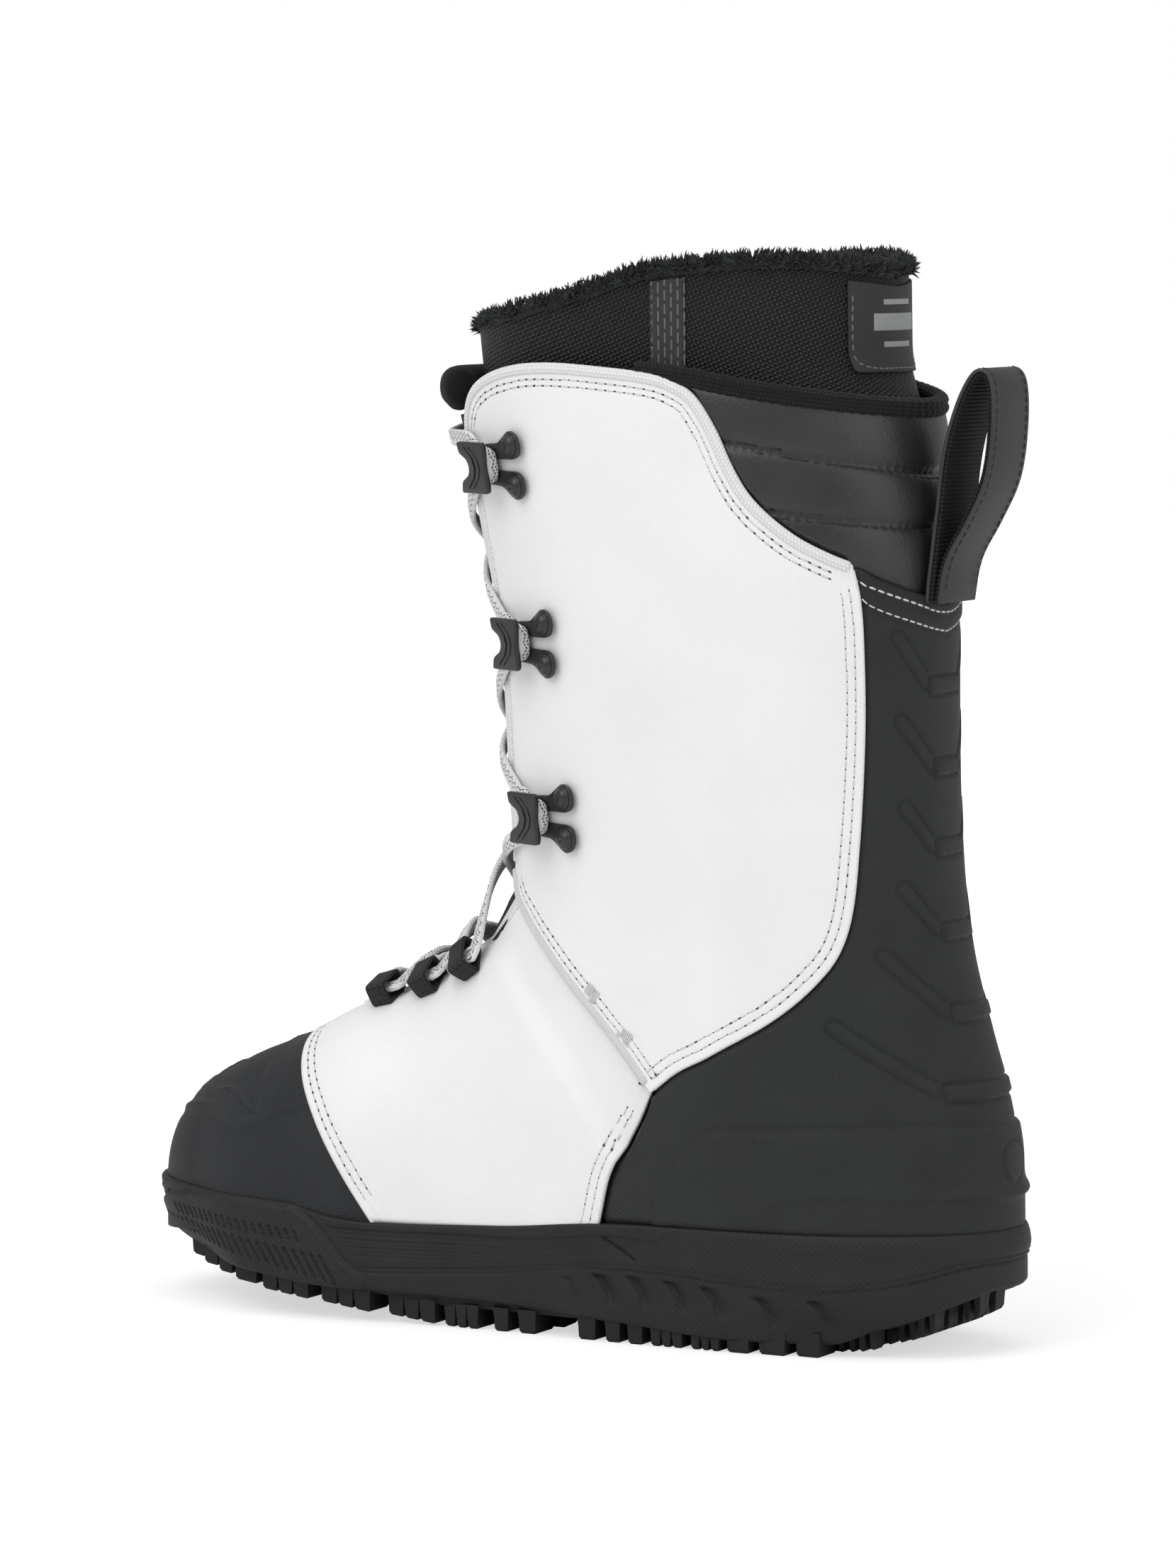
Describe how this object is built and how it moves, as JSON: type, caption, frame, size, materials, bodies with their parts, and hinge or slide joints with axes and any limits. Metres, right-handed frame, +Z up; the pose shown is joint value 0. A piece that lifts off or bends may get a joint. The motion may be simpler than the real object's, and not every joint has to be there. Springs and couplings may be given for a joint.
{
  "type": "snowboard boot",
  "caption": "Right snowboard boot: lugged rubber sole, leather shell whose cuff flexes at the ankle, hook lacing, padded removable liner with a pile rim, and a rear pull loop.",
  "frame": {"origin": "under the middle of the boot, on the surface that the lugs stand on", "axes": "+X to the toe, +Y to the inner (medial) side of a right foot, +Z up"},
  "size_m": [0.3038, 0.1104, 0.343],
  "materials": {
    "white_leather": "smooth pearly white leather, lightly grained",
    "black_leather": "smooth black leather over foam",
    "black_rubber": "matt black rubber with fine moulded lines",
    "midsole_rubber": "matt black moulded rubber",
    "black_plastic": "satin black moulded plastic",
    "foam": "fabric over foam",
    "black_knit": "napped black knit",
    "liner_mesh": "coarse black spacer mesh",
    "grey_fur": "short grey pile",
    "webbing": "ribbed dark webbing",
    "white_cord": "flat white braid with dark tracer marks",
    "steel": "bare spring steel",
    "fibre_board": "pressed fibre board"
  },
  "bodies": {
    "lower_boot": {"outsole": "black_rubber", "midsole": "midsole_rubber", "shank": "steel", "lasting_board": "fibre_board", "toe_cap": "black_rubber", "toe_puff": "black_plastic", "vamp_medial": "white_leather", "vamp_lateral": "white_leather", "heel_cup": "black_rubber", "heel_counter": "black_plastic", "tongue_lower": "black_leather", "liner_heel": "liner_mesh", "liner_vamp": "liner_mesh", "footbed": "foam", "lace_loop_medial_1": "webbing", "lace_loop_medial_2": "webbing", "lace_loop_medial_3": "webbing", "lace_loop_lateral_1": "webbing", "lace_loop_lateral_2": "webbing", "lace_loop_lateral_3": "webbing"},
    "cuff": {"cuff_quarter_medial": "white_leather", "cuff_quarter_lateral": "white_leather", "backstay": "black_rubber", "rear_collar": "black_leather", "cuff_padding": "black_knit", "tongue_upper": "black_leather", "tongue_roll": "black_knit", "liner_cuff": "liner_mesh", "fur_rim": "grey_fur", "liner_tape_medial": "webbing", "liner_tape_lateral": "webbing", "liner_label": "black_leather", "lace_half_1": "white_cord", "lace_half_2": "white_cord", "aglet_1": "black_plastic", "aglet_2": "black_plastic", "hook_medial_1": "black_plastic", "hook_medial_2": "black_plastic", "hook_medial_3": "black_plastic", "hook_lateral_1": "black_plastic", "hook_lateral_2": "black_plastic", "hook_lateral_3": "black_plastic", "rivet_medial_1_upper": "black_plastic", "rivet_medial_1_lower": "black_plastic", "rivet_medial_2_upper": "black_plastic", "rivet_medial_2_lower": "black_plastic", "rivet_medial_3_upper": "black_plastic", "rivet_medial_3_lower": "black_plastic", "rivet_lateral_1_upper": "black_plastic", "rivet_lateral_1_lower": "black_plastic", "rivet_lateral_2_upper": "black_plastic", "rivet_lateral_2_lower": "black_plastic", "rivet_lateral_3_upper": "black_plastic", "rivet_lateral_3_lower": "black_plastic"},
    "pull_loop": {"pull_loop": "webbing"}
  },
  "joints": [
    {"name": "cuff_flex", "type": "hinge", "parent": "lower_boot", "child": "cuff", "pos_m": [-0.05, 0, 0.105], "axis": [0, 1, 0], "range_deg": [0, 12], "stiffness_Nm_per_rad": 60, "deforming": ["tongue_lower", "lace_half_1", "lace_half_2"]},
    {"name": "pull_loop_fold", "type": "hinge", "parent": "cuff", "child": "pull_loop", "pos_m": [-0.1295, 0, 0.2335], "axis": [0, -1, 0], "range_deg": [0, 95], "stiffness_Nm_per_rad": 0.05}
  ]
}
